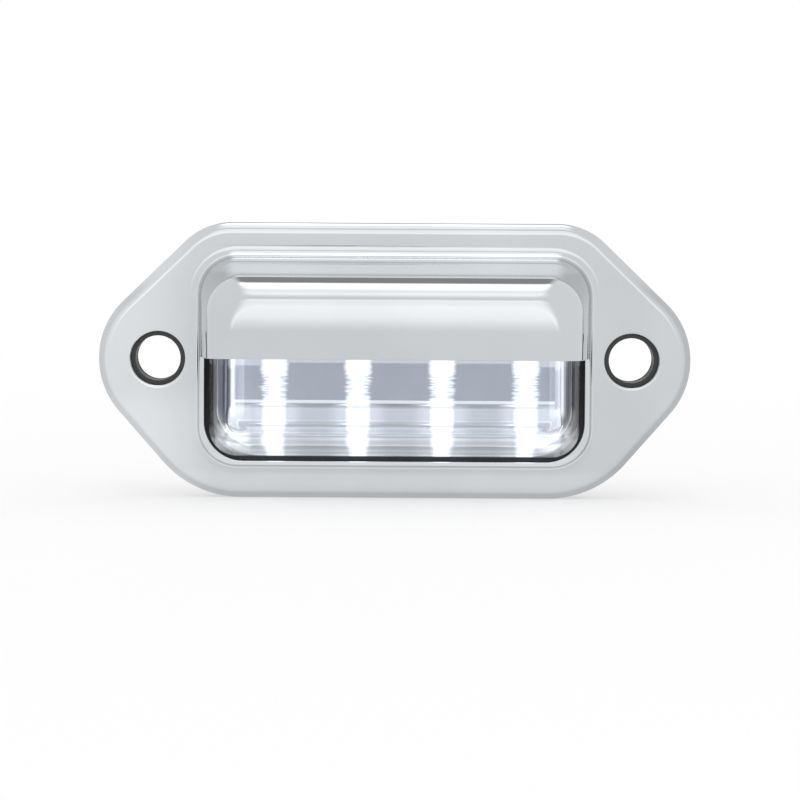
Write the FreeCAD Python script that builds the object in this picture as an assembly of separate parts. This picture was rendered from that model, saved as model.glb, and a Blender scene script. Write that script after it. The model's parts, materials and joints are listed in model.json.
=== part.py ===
import FreeCAD, Part
import math
import os

from FreeCAD import Vector

# Number plate lamp, drawn as it sits on an upright panel.
# X runs along the lamp, Z is up, and depth is measured forwards (towards -Y) from the mounting plane.
# The origin is on the mounting plane, midway between the two screw holes. All sizes are millimetres.

# Drawn dome of the cover, which is the hood above and a low collar round the window below
OVERALL_DEPTH = 21.0
DOME_HALF_WIDTH = 26.4
DOME_TOP = 14.0
DOME_BOTTOM = -14.45
DOME_CORNER = 5.2
SIDE_DRAFT = 6.8
TOP_DRAFT = 12.3
LOW_DRAFT = 10.5
ROOT_BEND = 1.4
HOOD_BEND = 3.8
COLLAR_HEIGHT = 1.0
HOOD_EDGE_ROOT = 0.25
HOOD_EDGE_FRONT = 0.62

# Outline of the flange, set out from the dome's sides
EAR_LENGTH = 13.6
TOP_MARGIN = 4.4
BOTTOM_MARGIN = 4.35
NOSE_RADIUS = 10.8
NOSE_HEIGHT = -0.05
TOP_CORNER_RADIUS = 9.0
BOTTOM_CORNER_RADIUS = 14.0
TOP_SLOPE = 44.0
BOTTOM_SLOPE = 48.7

# Cover sheet and flange
SHEET = 0.8
RIM_REAR = 0.9
RIM_BEND = 1.4
HOLE_TO_DOME = 5.6
COVER_HOLE_RADIUS = 3.6
COVER_HOLE_DISH = 0.3

# Clear lens and its seal
LENS_GAP = 0.8
LENS_WALL = 1.2
LENS_BEND = 2.0
LENS_FLANGE = 1.0
LENS_FLANGE_REACH = 1.3
LENS_FLANGE_CORNER = 6.0
SEAL = 0.4
SEAL_CLEARANCE = 0.15

# Moulded base and rear gasket
GASKET = 1.6
BASE_FLOOR = 2.0
RIM_CLEARANCE = 0.25
RECESS_CLEARANCE = 0.15
SCREW_HOLE_RADIUS = 3.05
GASKET_HOLE_CLEARANCE = 0.5

# Metallised reflector
REFLECTOR_GAP = 0.3
REFLECTOR_FLANGE = 0.5
REFLECTOR_WALL = 0.8
REFLECTOR_FRONT_GAP = 1.6
PANEL_WALL = 1.2
PANEL_TO_TERMINALS = 0.2
PANEL_RISE = 9.05
STEP_COUNT = 2
STEP_HEIGHT = 2.6
STEP_ROUND = 1.4
ROOF_DROP = 7.1

# Circuit board and the parts soldered to it
BOARD = 1.2
BOARD_EDGE_CLEARANCE = 0.4
BOARD_REAR_CLEARANCE = 0.6
TONGUE_WIDTH = 10.0
TONGUE_GAP = 1.6
TONGUE_CLEARANCE = 0.25
LED_COUNT = 4
LED_END_MARGIN = 4.0
LED_LENGTH = 3.5
LED_WIDTH = 2.8
LED_HEIGHT = 1.4
CUP_WALL = 0.3
CUP_FLARE = 0.3
CUP_FLOOR = 0.4
RESISTOR_LENGTH = 2.0
RESISTOR_WIDTH = 1.25
RESISTOR_HEIGHT = 0.5
DIODE_LENGTH = 4.2
DIODE_WIDTH = 2.6
DIODE_HEIGHT = 2.1
DIODE_TAPER = 0.2
DIODE_FOOT = 0.5
TERMINAL_PITCH = 5.0
TERMINAL_WIDTH = 0.7
TERMINAL_COLLAR = 1.6
TERMINAL_COLLAR_HEIGHT = 0.5
TERMINAL_LENGTH = 3.0
TERMINAL_TO_EDGE = 1.0

# Inner screws
BOARD_SCREW_TO_EDGE = 1.6
BOARD_SCREW_RADIUS = 0.7
BOARD_SCREW_HEAD = 1.3
BOARD_SCREW_HEAD_HEIGHT = 0.8
BOARD_SCREW_GRIP = 1.4
BODY_SCREW_TO_DOME = 11.4
BODY_SCREW_HEIGHT = 1.5
BODY_SCREW_RADIUS = 0.85
BODY_SCREW_HEAD = 2.0
BODY_SCREW_HEAD_HEIGHT = 1.1
BODY_SCREW_GRIP = 3.2
BOSS_RADIUS = 2.3
PILOT_CLEARANCE = 0.05
THROUGH_CLEARANCE = 0.2
DRIVE_WIDTH = 0.2
DRIVE_DEPTH = 0.4

# Lead grommet in the base
GROMMET_RADIUS = 4.0
GROMMET_FLANGE_RADIUS = 5.2
GROMMET_FLANGE = 1.2
GROMMET_TAIL = 4.0
GROMMET_CLEARANCE = 0.1
LEAD_PITCH = 3.6
LEAD_BORE_RADIUS = 1.0

# Places worked out from the sizes above
PAST = 5.0
TINY = 1e-4
HALF_LENGTH = DOME_HALF_WIDTH + EAR_LENGTH
TOP_EDGE = DOME_TOP + TOP_MARGIN
BOTTOM_EDGE = DOME_BOTTOM - BOTTOM_MARGIN
SCREW_X = DOME_HALF_WIDTH + HOLE_TO_DOME
BASE_REAR = GASKET
BASE_SEAT = GASKET + BASE_FLOOR
LENS_SEAT = BASE_SEAT + REFLECTOR_FLANGE
LENS_FACE = LENS_SEAT + LENS_FLANGE
FACE_INNER = LENS_FACE + SEAL
FACE_DEPTH = FACE_INNER + SHEET
LENS_INSET = SHEET + LENS_GAP
LENS_INNER_INSET = LENS_INSET + LENS_WALL
REFLECTOR_INSET = LENS_INNER_INSET + REFLECTOR_GAP
CAVITY_INSET = REFLECTOR_INSET + REFLECTOR_WALL
REFLECTOR_FRONT = OVERALL_DEPTH - LENS_INNER_INSET - REFLECTOR_FRONT_GAP
PANEL_BOTTOM = DOME_BOTTOM + PANEL_RISE
ROOF_HEIGHT = DOME_TOP - ROOF_DROP
BOARD_FRONT = REFLECTOR_FRONT - BOARD_EDGE_CLEARANCE
BOARD_UNDERSIDE = ROOF_HEIGHT - BOARD
TONGUE_REAR = BASE_SEAT + TONGUE_GAP
TERMINAL_DEPTH = TONGUE_REAR + TERMINAL_TO_EDGE
PANEL_DEPTH = TERMINAL_DEPTH + TERMINAL_COLLAR / 2 + PANEL_TO_TERMINALS + PANEL_WALL
STEP_FRONT = PANEL_DEPTH + STEP_COUNT * STEP_ROUND
BOARD_REAR = PANEL_DEPTH + BOARD_REAR_CLEARANCE
BOARD_SCREW_DEPTH = BOARD_FRONT - BOARD_SCREW_TO_EDGE
LED_DEPTH = (BOARD_FRONT + BOARD_REAR) / 2


def drafted(size, inset, depth, draft):
    """A half size of the dome at a depth, with inset measured square to its drafted wall."""
    angle = math.radians(draft)
    return size - inset / math.cos(angle) - (depth - FACE_DEPTH) * math.tan(angle)


BOARD_HALF = drafted(DOME_HALF_WIDTH, CAVITY_INSET, BOARD_FRONT, SIDE_DRAFT) - BOARD_EDGE_CLEARANCE
LED_PITCH = 2 * (BOARD_HALF - LED_END_MARGIN) / (LED_COUNT - 1)


def at(x, depth, z):
    """A point given by its place along the lamp, its depth in front of the panel and its height."""
    return Vector(x, -depth, z)


def forwards(length):
    return Vector(0, -length, 0)


# Closed outlines made of arcs joined by straight runs

def arc_edge(centre_x, centre_z, radius, start, end, depth):
    points = []
    for angle in (start, (start + end) / 2, end):
        turn = math.radians(angle)
        points.append(at(centre_x + radius * math.cos(turn), depth, centre_z + radius * math.sin(turn)))
    return Part.Arc(*points).toShape()


def outline_from_arcs(arcs, depth):
    """A closed wire through arcs (centre x, centre z, radius, start angle, end angle) in running order."""
    curves = [arc_edge(*arc, depth) for arc in arcs]
    edges = []
    for index, curve in enumerate(curves):
        following = curves[(index + 1) % len(curves)]
        leave = curve.Vertexes[-1].Point
        reach = following.Vertexes[0].Point
        edges.append(curve)
        if leave.distanceToPoint(reach) > TINY:
            edges.append(Part.LineSegment(leave, reach).toShape())
    return Part.Wire(edges)


def mirrored_arcs(right_side):
    """The arcs of the right half, followed by the same arcs on the left half."""
    left_side = [(-x, z, radius, 180 - end, 180 - start) for x, z, radius, start, end in right_side]
    return right_side + left_side[::-1]


def corner_centre_x(corner_z, corner_radius, nose_x, normal_x, normal_z):
    """Where a corner arc sits so that it meets the slope that is tangent to the nose arc."""
    slope_offset = normal_x * nose_x + normal_z * NOSE_HEIGHT + NOSE_RADIUS
    return (slope_offset - corner_radius - normal_z * corner_z) / normal_x


def flange_outline(inset, depth):
    nose_x = HALF_LENGTH - NOSE_RADIUS
    top, low = math.radians(TOP_SLOPE), math.radians(BOTTOM_SLOPE)
    top_z = TOP_EDGE - TOP_CORNER_RADIUS
    low_z = BOTTOM_EDGE + BOTTOM_CORNER_RADIUS
    top_x = corner_centre_x(top_z, TOP_CORNER_RADIUS, nose_x, math.sin(top), math.cos(top))
    low_x = corner_centre_x(low_z, BOTTOM_CORNER_RADIUS, nose_x, math.sin(low), -math.cos(low))
    right_side = [
        (top_x, top_z, TOP_CORNER_RADIUS - inset, 90, 90 - TOP_SLOPE),
        (nose_x, NOSE_HEIGHT, NOSE_RADIUS - inset, 90 - TOP_SLOPE, BOTTOM_SLOPE - 90),
        (low_x, low_z, BOTTOM_CORNER_RADIUS - inset, BOTTOM_SLOPE - 90, -90),
    ]
    return outline_from_arcs(mirrored_arcs(right_side), depth)


def rounded_outline(half_width, low, high, corner, depth):
    inner_x = half_width - corner
    right_side = [
        (inner_x, high - corner, corner, 90, 0),
        (inner_x, low + corner, corner, 0, -90),
    ]
    return outline_from_arcs(mirrored_arcs(right_side), depth)


def dome_sizes(inset, depth):
    """The dome's half width, lowest and highest point and corner radius at a depth."""
    half = drafted(DOME_HALF_WIDTH, inset, depth, SIDE_DRAFT)
    low = -drafted(-DOME_BOTTOM, inset, depth, LOW_DRAFT)
    high = drafted(DOME_TOP, inset, depth, TOP_DRAFT)
    return half, low, high, DOME_CORNER - inset


def dome_outline(inset, depth):
    return rounded_outline(*dome_sizes(inset, depth), depth)


def drafted_ring(inset, depth, cut):
    """The dome's outline at a depth as straight runs, its corners sharp, or cut straight across if cut is set."""
    half, low, high, corner = dome_sizes(inset, depth)
    if not cut:
        return [at(x, depth, z) for x, z in ((half, high), (half, low), (-half, low), (-half, high))]
    right = [(half - corner, high), (half, high - corner), (half, low + corner), (half - corner, low)]
    return [at(x, depth, z) for x, z in right] + [at(-x, depth, z) for x, z in right[::-1]]


def drafted_block(inset, start, end, cut):
    """A solid with the dome's drafted walls, flat all round, between two depths."""
    near = drafted_ring(inset, start, cut)
    far = drafted_ring(inset, end, cut)
    faces = [Part.Face(Part.makePolygon(ring + ring[:1])) for ring in (near, far)]
    for index in range(len(near)):
        following = (index + 1) % len(near)
        corners = [near[index], near[following], far[following], far[index], near[index]]
        faces.append(Part.Face(Part.makePolygon(corners)))
    return Part.makeSolid(Part.makeShell(faces))


def cut_corner_dome(inset, start, end):
    """The form of what lies inside the lens, its corners cut straight across."""
    return drafted_block(inset, start, end, True)


def dome(inset, start, end):
    """The drafted form with its four corners rounded."""
    shape = drafted_block(inset, start, end, False)
    corners = [edge for edge in shape.Edges if edge.BoundBox.YLength > end - start - TINY]
    return shape.makeFillet(DOME_CORNER - inset, corners)


def plate(outline, thickness):
    return Part.Face(outline).extrude(forwards(thickness))


def rod(x, z, radius, start, end):
    return Part.makeCylinder(radius, end - start, at(x, start, z), Vector(0, -1, 0))


def upright_rod(x, depth, radius, low, high):
    return Part.makeCylinder(radius, high - low, at(x, depth, low), Vector(0, 0, 1))


def block(x, z, half_width, low_depth, high_depth, low, high):
    """A box centred on x, from low_depth to high_depth, with its heights measured from z."""
    return Part.makeBox(2 * half_width, high_depth - low_depth, high - low,
                        at(x - half_width, high_depth, z + low))


def edges_at(shape, depth):
    """The edges that lie in the plane at a depth."""
    found = []
    for edge in shape.Edges:
        box = edge.BoundBox
        if abs(-box.YMin - depth) < TINY and abs(-box.YMax - depth) < TINY:
            found.append(edge)
    return found


def root_edges(shape, depth):
    """The edges at a depth that run round the foot of the dome."""
    found = []
    for edge in edges_at(shape, depth):
        box = edge.BoundBox
        upright = box.ZMax < DOME_TOP + SHEET and box.ZMin > DOME_BOTTOM - SHEET
        if upright and abs(box.Center.x) < DOME_HALF_WIDTH + TINY:
            found.append(edge)
    return found


def bend_chamfer(radius):
    """The chamfer that takes the place of a bend's round, and touches it halfway."""
    return (2 - math.sqrt(2)) * radius


# The cover: one chromed pressing with a flange, a rolled rim, a hood and a collar round the window

def pressing_outside():
    flange = plate(flange_outline(0, RIM_REAR), FACE_DEPTH - RIM_REAR)
    flange = flange.makeFillet(RIM_BEND, edges_at(flange, FACE_DEPTH))
    raised = dome(0, FACE_DEPTH - 2 * SHEET, OVERALL_DEPTH)
    raised = raised.makeFillet(HOOD_BEND, edges_at(raised, OVERALL_DEPTH))
    joined = flange.fuse(raised).removeSplitter()
    return joined.makeChamfer(bend_chamfer(ROOT_BEND), root_edges(joined, FACE_DEPTH))


def pressing_inside():
    """The space inside the sheet, its bends chamfered so that the sheet keeps its thickness."""
    front = OVERALL_DEPTH - SHEET
    flange = plate(flange_outline(SHEET, 0), FACE_INNER)
    raised = dome(SHEET, FACE_INNER - SHEET, front)
    raised = raised.makeChamfer(bend_chamfer(HOOD_BEND - SHEET), edges_at(raised, front))
    joined = flange.fuse(raised).removeSplitter()
    return joined.makeChamfer(bend_chamfer(ROOT_BEND + SHEET), root_edges(joined, FACE_INNER))


def window_cut():
    """All that lies in front of the collar and below the hood's trimmed edge."""
    collar = FACE_DEPTH + COLLAR_HEIGHT
    front = OVERALL_DEPTH + PAST
    rake = (HOOD_EDGE_FRONT - HOOD_EDGE_ROOT) / (OVERALL_DEPTH - collar)
    corners = [
        at(-HALF_LENGTH, collar, HOOD_EDGE_ROOT),
        at(-HALF_LENGTH, front, HOOD_EDGE_ROOT + rake * (front - collar)),
        at(-HALF_LENGTH, front, BOTTOM_EDGE),
        at(-HALF_LENGTH, collar, BOTTOM_EDGE),
    ]
    side = Part.Face(Part.makePolygon(corners + corners[:1]))
    return side.extrude(Vector(2 * HALF_LENGTH, 0, 0))


def make_cover():
    sheet = pressing_outside().cut(pressing_inside()).cut(window_cut())
    for side in (-1, 1):
        x = side * SCREW_X
        sheet = sheet.cut(rod(x, 0, COVER_HOLE_RADIUS, 0, FACE_DEPTH + PAST))
        dish = Part.makeCone(COVER_HOLE_RADIUS, COVER_HOLE_RADIUS + COVER_HOLE_DISH, COVER_HOLE_DISH,
                             at(x, FACE_DEPTH - COVER_HOLE_DISH, 0), Vector(0, -1, 0))
        sheet = sheet.cut(dish)
    return sheet


# The lens: a clear moulding, a drafted box with a flange that the cover clamps against the base

def lens_flange_outline(grow, depth):
    reach = LENS_FLANGE_REACH + grow
    return rounded_outline(DOME_HALF_WIDTH + reach, DOME_BOTTOM - reach, DOME_TOP + reach,
                           LENS_FLANGE_CORNER + grow, depth)


def make_lens():
    flange = plate(lens_flange_outline(0, LENS_SEAT), LENS_FLANGE)
    front = OVERALL_DEPTH - LENS_INSET
    outer = dome(LENS_INSET, LENS_SEAT + LENS_FLANGE / 2, front)
    outer = outer.makeChamfer(bend_chamfer(LENS_BEND), edges_at(outer, front))
    inner = cut_corner_dome(LENS_INNER_INSET, BASE_SEAT - PAST, front - LENS_WALL)
    return flange.fuse(outer).cut(inner).removeSplitter()


def make_lens_seal():
    ring = plate(lens_flange_outline(0, LENS_FACE), SEAL)
    return ring.cut(plate(dome_outline(LENS_INSET - SEAL_CLEARANCE, LENS_FACE), SEAL))


# The base: a black moulding that fills the rim, with a recess for the lens flange

def body_screw_places():
    return [(side * (DOME_HALF_WIDTH - BODY_SCREW_TO_DOME), BODY_SCREW_HEIGHT) for side in (-1, 1)]


def make_base():
    shape = plate(flange_outline(SHEET + RIM_CLEARANCE, BASE_REAR), FACE_INNER - BASE_REAR)
    shape = shape.cut(plate(lens_flange_outline(RECESS_CLEARANCE, BASE_SEAT), PAST))
    for side in (-1, 1):
        shape = shape.cut(rod(side * SCREW_X, 0, SCREW_HOLE_RADIUS, 0, FACE_DEPTH))
    for x, z in body_screw_places():
        head_seat = BASE_REAR + BODY_SCREW_HEAD_HEIGHT
        shape = shape.cut(rod(x, z, BODY_SCREW_HEAD + THROUGH_CLEARANCE, 0, head_seat))
        shape = shape.cut(rod(x, z, BODY_SCREW_RADIUS + THROUGH_CLEARANCE, BASE_REAR, FACE_DEPTH))
    return shape.cut(rod(0, 0, GROMMET_RADIUS + GROMMET_CLEARANCE, 0, FACE_DEPTH))


def make_rear_gasket():
    shape = plate(flange_outline(SHEET + RIM_CLEARANCE, 0), GASKET)
    for side in (-1, 1):
        shape = shape.cut(rod(side * SCREW_X, 0, SCREW_HOLE_RADIUS, -PAST, FACE_DEPTH))
    return shape.cut(rod(0, 0, GROMMET_RADIUS + GASKET_HOLE_CLEARANCE, -PAST, FACE_DEPTH))


# The reflector: a metallised tray with a smooth back panel, rounded steps below it and a roof for the board

def tapered_slab(inset, low, high):
    """The width inside the dome's walls at an inset, between two heights, over the reflector's whole depth."""
    wires = []
    for depth in (BASE_SEAT, REFLECTOR_FRONT + PAST):
        half = drafted(DOME_HALF_WIDTH, inset, depth, SIDE_DRAFT)
        corners = [at(-half, depth, low), at(half, depth, low), at(half, depth, high), at(-half, depth, high)]
        wires.append(Part.makePolygon(corners + corners[:1]))
    return Part.makeLoft(wires, True, True)


def light_space():
    """The space in front of the panel and its steps, below the roof and open downwards."""
    x = -DOME_HALF_WIDTH
    front = REFLECTOR_FRONT + PAST
    edges = [Part.LineSegment(at(x, front, ROOF_HEIGHT), at(x, PANEL_DEPTH, ROOF_HEIGHT)).toShape(),
             Part.LineSegment(at(x, PANEL_DEPTH, ROOF_HEIGHT), at(x, PANEL_DEPTH, PANEL_BOTTOM)).toShape()]
    diagonal = STEP_ROUND * math.sqrt(0.5)
    for step in range(STEP_COUNT):
        depth = PANEL_DEPTH + step * STEP_ROUND
        top = PANEL_BOTTOM - step * STEP_HEIGHT
        foot = DOME_BOTTOM if step == STEP_COUNT - 1 else top - STEP_HEIGHT
        middle = at(x, depth + diagonal, top - STEP_ROUND + diagonal)
        nose = at(x, depth + STEP_ROUND, top - STEP_ROUND)
        edges.append(Part.Arc(at(x, depth, top), middle, nose).toShape())
        edges.append(Part.LineSegment(nose, at(x, depth + STEP_ROUND, foot)).toShape())
    edges.append(Part.LineSegment(at(x, STEP_FRONT, DOME_BOTTOM), at(x, front, DOME_BOTTOM)).toShape())
    edges.append(Part.LineSegment(at(x, front, DOME_BOTTOM), at(x, front, ROOF_HEIGHT)).toShape())
    return Part.Face(Part.Wire(edges)).extrude(Vector(2 * DOME_HALF_WIDTH, 0, 0))


def board_screw_places():
    return [side * LED_PITCH * (LED_COUNT - 2) / 2 for side in (-1, 1)]


def make_reflector():
    flange = plate(lens_flange_outline(0, BASE_SEAT), REFLECTOR_FLANGE)
    shape = cut_corner_dome(REFLECTOR_INSET, BASE_SEAT, REFLECTOR_FRONT).fuse(flange)
    between_cheeks = tapered_slab(CAVITY_INSET, DOME_BOTTOM - PAST, DOME_TOP)
    shape = shape.cut(light_space().common(between_cheeks))
    rear = cut_corner_dome(CAVITY_INSET, BASE_SEAT - PAST, PANEL_DEPTH - PANEL_WALL)
    for x, z in body_screw_places():
        rear = rear.cut(rod(x, z, BOSS_RADIUS, 0, PANEL_DEPTH))
    shape = shape.cut(rear)
    for x, z in body_screw_places():
        pilot_end = BASE_SEAT + BODY_SCREW_GRIP + THROUGH_CLEARANCE
        shape = shape.cut(rod(x, z, BODY_SCREW_RADIUS + PILOT_CLEARANCE, 0, pilot_end))
    for x in board_screw_places():
        pilot_top = ROOF_HEIGHT + BOARD_SCREW_GRIP + THROUGH_CLEARANCE
        shape = shape.cut(upright_rod(x, BOARD_SCREW_DEPTH, BOARD_SCREW_RADIUS + PILOT_CLEARANCE,
                                      ROOF_HEIGHT - BOARD, pilot_top))
    slot = block(0, ROOF_HEIGHT, TONGUE_WIDTH / 2 + TONGUE_CLEARANCE, BASE_SEAT, PANEL_DEPTH,
                 -BOARD - TONGUE_CLEARANCE, TONGUE_CLEARANCE)
    return shape.cut(slot)


# The circuit board and what is soldered to it: it hangs under the reflector's roof

def make_led_board():
    shape = block(0, ROOF_HEIGHT, BOARD_HALF, BOARD_REAR, BOARD_FRONT, -BOARD, 0)
    tongue = block(0, ROOF_HEIGHT, TONGUE_WIDTH / 2, TONGUE_REAR, BOARD_REAR + BOARD, -BOARD, 0)
    shape = shape.fuse(tongue).removeSplitter()
    for x in board_screw_places():
        shape = shape.cut(upright_rod(x, BOARD_SCREW_DEPTH, BOARD_SCREW_RADIUS + THROUGH_CLEARANCE,
                                      BOARD_UNDERSIDE - PAST, ROOF_HEIGHT + PAST))
    for side in (-1, 1):
        shape = shape.cut(square_pin(side * TERMINAL_PITCH / 2, TERMINAL_WIDTH, -PAST, PAST))
    return shape


def level_rectangle(x, depth, half_x, half_depth, z):
    corners = [at(x - half_x, depth - half_depth, z), at(x + half_x, depth - half_depth, z),
               at(x + half_x, depth + half_depth, z), at(x - half_x, depth + half_depth, z)]
    return Part.makePolygon(corners + corners[:1])


def led_cup(x):
    """The flared cup in an LED's underside that holds its phosphor."""
    wires = []
    for z, flare in ((-LED_HEIGHT, 0), (-CUP_FLOOR, CUP_FLARE)):
        half_x = LED_LENGTH / 2 - CUP_WALL - flare
        half_depth = LED_WIDTH / 2 - CUP_WALL - flare
        wires.append(level_rectangle(x, LED_DEPTH, half_x, half_depth, BOARD_UNDERSIDE + z))
    return Part.makeLoft(wires, True, True)


def make_led_body(x):
    shape = block(x, BOARD_UNDERSIDE, LED_LENGTH / 2, LED_DEPTH - LED_WIDTH / 2, LED_DEPTH + LED_WIDTH / 2,
                  -LED_HEIGHT, 0)
    return shape.cut(led_cup(x))


def make_resistor(side):
    """A chip resistor between an inner LED and a board screw, with a folded end cap, a little proud, at each end."""
    led_edge = (LED_PITCH + LED_LENGTH) / 2
    screw_edge = LED_PITCH - BOARD_SCREW_HEAD
    x = side * (led_edge + screw_edge) / 2
    half = RESISTOR_LENGTH / 2
    cap = RESISTOR_LENGTH / 6
    proud = RESISTOR_HEIGHT / 12
    shape = block(x, BOARD_UNDERSIDE, RESISTOR_WIDTH / 2, LED_DEPTH - half, LED_DEPTH + half,
                  -RESISTOR_HEIGHT + proud, 0)
    for low, high in ((-half, cap - half), (half - cap, half)):
        end = block(x, BOARD_UNDERSIDE, RESISTOR_WIDTH / 2, LED_DEPTH + low, LED_DEPTH + high,
                    -RESISTOR_HEIGHT, 0)
        shape = shape.fuse(end)
    return shape.removeSplitter()


def make_polarity_diode():
    """A moulded diode: a tapered body on two folded feet."""
    foot_drop = DIODE_HEIGHT / 10
    wires = []
    for z, taken in ((-foot_drop, 0), (-DIODE_HEIGHT / 2, -DIODE_TAPER), (-DIODE_HEIGHT, 0)):
        half_x = (DIODE_LENGTH / 2) - DIODE_FOOT - DIODE_TAPER - taken
        half_depth = (DIODE_WIDTH / 2) - DIODE_TAPER - taken
        wires.append(level_rectangle(0, LED_DEPTH, half_x, half_depth, BOARD_UNDERSIDE + z))
    shape = Part.makeLoft(wires, True, True)
    for side in (-1, 1):
        middle = side * (DIODE_LENGTH / 2 - DIODE_FOOT)
        foot = block(middle, BOARD_UNDERSIDE, DIODE_FOOT, LED_DEPTH - DIODE_WIDTH / 4,
                     LED_DEPTH + DIODE_WIDTH / 4, -DIODE_HEIGHT / 2, 0)
        shape = shape.fuse(foot)
    return shape.removeSplitter()


def square_pin(x, width, low, high):
    """A square pin through the board's tongue, its heights measured from the middle of the board."""
    return block(x, BOARD_UNDERSIDE + BOARD / 2, width / 2, TERMINAL_DEPTH - width / 2,
                 TERMINAL_DEPTH + width / 2, low, high)


def make_terminal(x):
    """A square pin with a collar that seats on the board's underside."""
    pin = square_pin(x, TERMINAL_WIDTH, -TERMINAL_LENGTH / 2, TERMINAL_LENGTH / 2)
    collar = square_pin(x, TERMINAL_COLLAR, -BOARD / 2 - TERMINAL_COLLAR_HEIGHT, -BOARD / 2)
    return pin.fuse(collar).removeSplitter()


# The inner screws

def make_board_screw(x):
    low = BOARD_UNDERSIDE - BOARD_SCREW_HEAD_HEIGHT
    head = upright_rod(x, BOARD_SCREW_DEPTH, BOARD_SCREW_HEAD, low, BOARD_UNDERSIDE)
    shank = upright_rod(x, BOARD_SCREW_DEPTH, BOARD_SCREW_RADIUS, low, ROOF_HEIGHT + BOARD_SCREW_GRIP)
    slot = block(x, low, BOARD_SCREW_HEAD, BOARD_SCREW_DEPTH - DRIVE_WIDTH, BOARD_SCREW_DEPTH + DRIVE_WIDTH,
                 -DRIVE_DEPTH, DRIVE_DEPTH)
    return head.fuse(shank).cut(slot).removeSplitter()


def make_body_screw(x, z):
    shank = rod(x, z, BODY_SCREW_RADIUS, BASE_REAR, BASE_SEAT + BODY_SCREW_GRIP)
    head = rod(x, z, BODY_SCREW_HEAD, BASE_REAR, BASE_REAR + BODY_SCREW_HEAD_HEIGHT)
    slot = block(x, z, BODY_SCREW_HEAD, 0, BASE_REAR + DRIVE_DEPTH, -DRIVE_WIDTH, DRIVE_WIDTH)
    return head.fuse(shank).cut(slot).removeSplitter()


def make_lead_grommet():
    """A rubber grommet: a flange inside the base and a tail through it, with two lead bores."""
    flange = rod(0, 0, GROMMET_FLANGE_RADIUS, BASE_SEAT, BASE_SEAT + GROMMET_FLANGE)
    tail = rod(0, 0, GROMMET_RADIUS, -GROMMET_TAIL, BASE_SEAT)
    shape = flange.fuse(tail).removeSplitter()
    for side in (-1, 1):
        bore = rod(side * LEAD_PITCH / 2, 0, LEAD_BORE_RADIUS, -GROMMET_TAIL - PAST, FACE_DEPTH + PAST)
        shape = shape.cut(bore)
    return shape


def save(name, shape):
    shape.exportStep("parts/" + name + ".step")
    print(name, "valid" if shape.isValid() else "NOT VALID", len(shape.Solids), "solids",
          round(shape.Volume, 2), "mm3")


os.makedirs("parts", exist_ok=True)
save("cover", make_cover())
save("lens", make_lens())
save("lens_seal", make_lens_seal())
save("base", make_base())
save("rear_gasket", make_rear_gasket())
save("lead_grommet", make_lead_grommet())
save("reflector", make_reflector())
save("led_board", make_led_board())
for number in range(LED_COUNT):
    led_x = LED_PITCH * (number - (LED_COUNT - 1) / 2)
    save("led_body_" + str(number + 1), make_led_body(led_x))
    save("led_phosphor_" + str(number + 1), led_cup(led_x))
for number, side in enumerate((-1, 1)):
    save("resistor_" + str(number + 1), make_resistor(side))
save("polarity_diode", make_polarity_diode())
save("terminal_positive", make_terminal(TERMINAL_PITCH / 2))
save("terminal_negative", make_terminal(-TERMINAL_PITCH / 2))
save("board_screws", Part.makeCompound([make_board_screw(x) for x in board_screw_places()]))
save("body_screws", Part.makeCompound([make_body_screw(x, z) for x, z in body_screw_places()]))
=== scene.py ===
import json
import math

import bmesh
import bpy
from mathutils import Matrix, Vector
from mathutils.geometry import tessellate_polygon

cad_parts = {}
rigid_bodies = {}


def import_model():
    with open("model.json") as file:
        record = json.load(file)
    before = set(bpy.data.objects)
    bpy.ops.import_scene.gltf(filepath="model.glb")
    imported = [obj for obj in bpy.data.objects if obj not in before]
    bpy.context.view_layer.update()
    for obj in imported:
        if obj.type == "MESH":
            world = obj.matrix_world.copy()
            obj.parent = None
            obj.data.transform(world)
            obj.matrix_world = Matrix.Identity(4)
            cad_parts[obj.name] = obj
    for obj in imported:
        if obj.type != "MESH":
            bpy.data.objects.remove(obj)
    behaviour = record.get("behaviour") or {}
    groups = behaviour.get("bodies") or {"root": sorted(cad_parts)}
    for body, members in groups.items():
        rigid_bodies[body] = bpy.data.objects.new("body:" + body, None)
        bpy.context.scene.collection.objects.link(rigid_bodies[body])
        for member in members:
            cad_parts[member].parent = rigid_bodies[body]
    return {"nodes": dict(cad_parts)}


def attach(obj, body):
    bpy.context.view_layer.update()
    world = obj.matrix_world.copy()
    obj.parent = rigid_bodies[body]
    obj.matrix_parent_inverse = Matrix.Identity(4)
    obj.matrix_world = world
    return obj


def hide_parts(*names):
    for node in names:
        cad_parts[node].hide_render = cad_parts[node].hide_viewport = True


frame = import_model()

for leftover in list(bpy.data.objects):
    if leftover.name in ("Cube", "Light", "Camera"):
        bpy.data.objects.remove(leftover)
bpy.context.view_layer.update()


# The cover is one pressing of thin steel sheet, polished and chromed. Its flange has a rolled rim and two
# screw holes, and the drawn dome is trimmed to a hood above the window and a low collar round it.
# The screws through the flange clamp the cover over the lens and the base.
MM = 0.001
SHEET = 0.8
FACE = 6.3
FRONT = 21.0
RIM_REAR = 0.9
RIM_BEND = 1.4
RIM_NIP = 0.5
RIM_NIP_TURN = math.radians(40.0)
ROOT_BEND = 1.4
LIP_THINNED = (0.15, 0.15, 0.3)
LIP_CORNER = 0.9
EDGE_ROUND = 0.12
HOOD_BEND = 3.8
COLLAR_TOP = 7.3
DOME_HALF = 26.4
DOME_TOP = 14.0
DOME_LOW = -14.45
DOME_CORNER = 5.2
SIDE_DRAFT = math.radians(6.8)
TOP_DRAFT = math.radians(12.3)
LOW_DRAFT = math.radians(10.5)
HOOD_EDGE_ROOT = 0.25
HOOD_EDGE_FRONT = 0.62
SCREW_X = 32.0
COVER_HOLE = 3.6
HOLE_ROLL = 0.35
FLAT_EDGE = 0.12
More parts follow.
